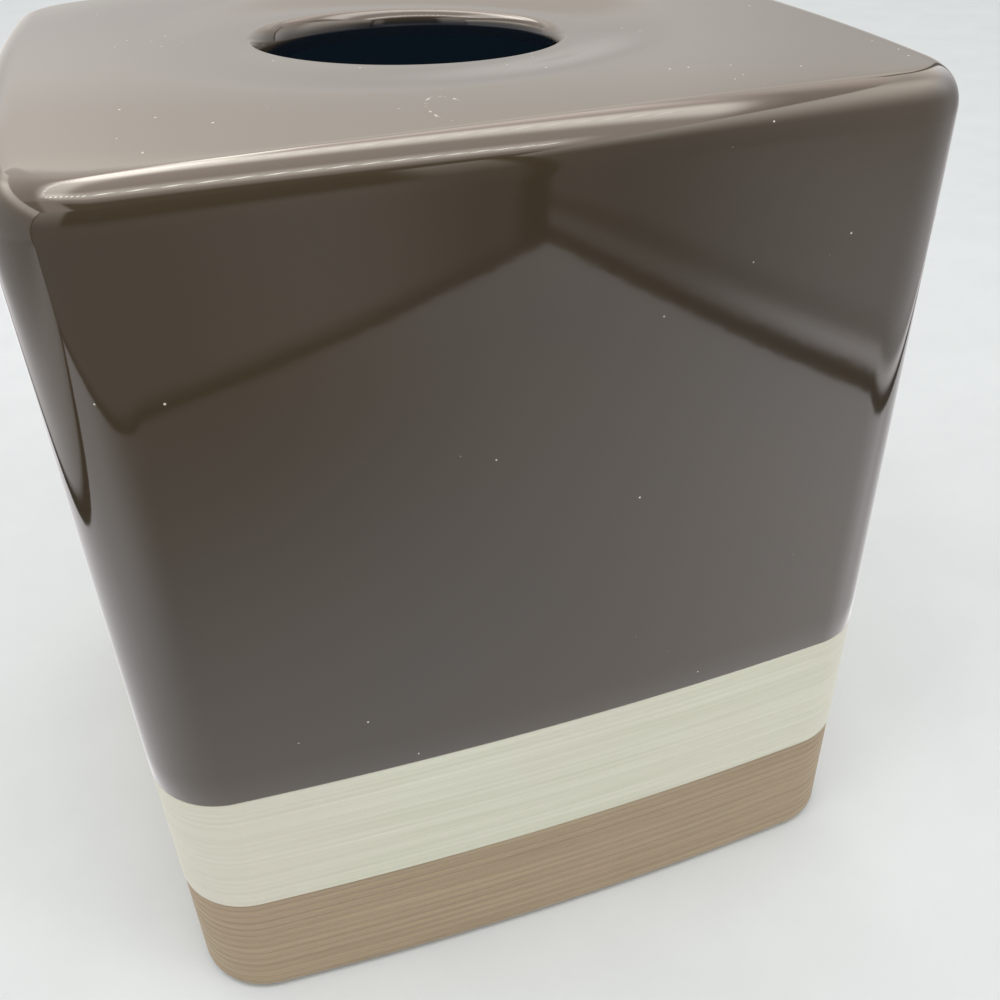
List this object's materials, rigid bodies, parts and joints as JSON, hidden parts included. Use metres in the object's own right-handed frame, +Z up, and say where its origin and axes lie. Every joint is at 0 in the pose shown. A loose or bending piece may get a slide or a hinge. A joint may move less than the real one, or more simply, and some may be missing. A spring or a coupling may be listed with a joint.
{
  "type": "tissue box cover",
  "caption": "Square boutique tissue box cover in glazed ceramic, open below, with a round rolled dispensing hole in its crowned top and combed matt bands round its base.",
  "frame": {"origin": "on the table under the middle of the cover", "axes": "+Z up through the middle of the dispensing hole, +X and +Y square to the sides"},
  "size_m": [0.14, 0.14, 0.1569],
  "materials": {
    "fired_clay": "unglazed, matt",
    "brown_gloss_glaze": "gloss",
    "cream_matt_slip": "matt, combed",
    "tan_matt_slip": "matt, ribbed",
    "inner_glaze": "satin",
    "clear_bumper": "satin, soft"
  },
  "bodies": {
    "root": {"shell_body": "fired_clay", "brown_glaze": "brown_gloss_glaze", "cream_band": "cream_matt_slip", "tan_band": "tan_matt_slip", "inner_glaze": "inner_glaze", "foot_pads": "clear_bumper"}
  },
  "joints": []
}
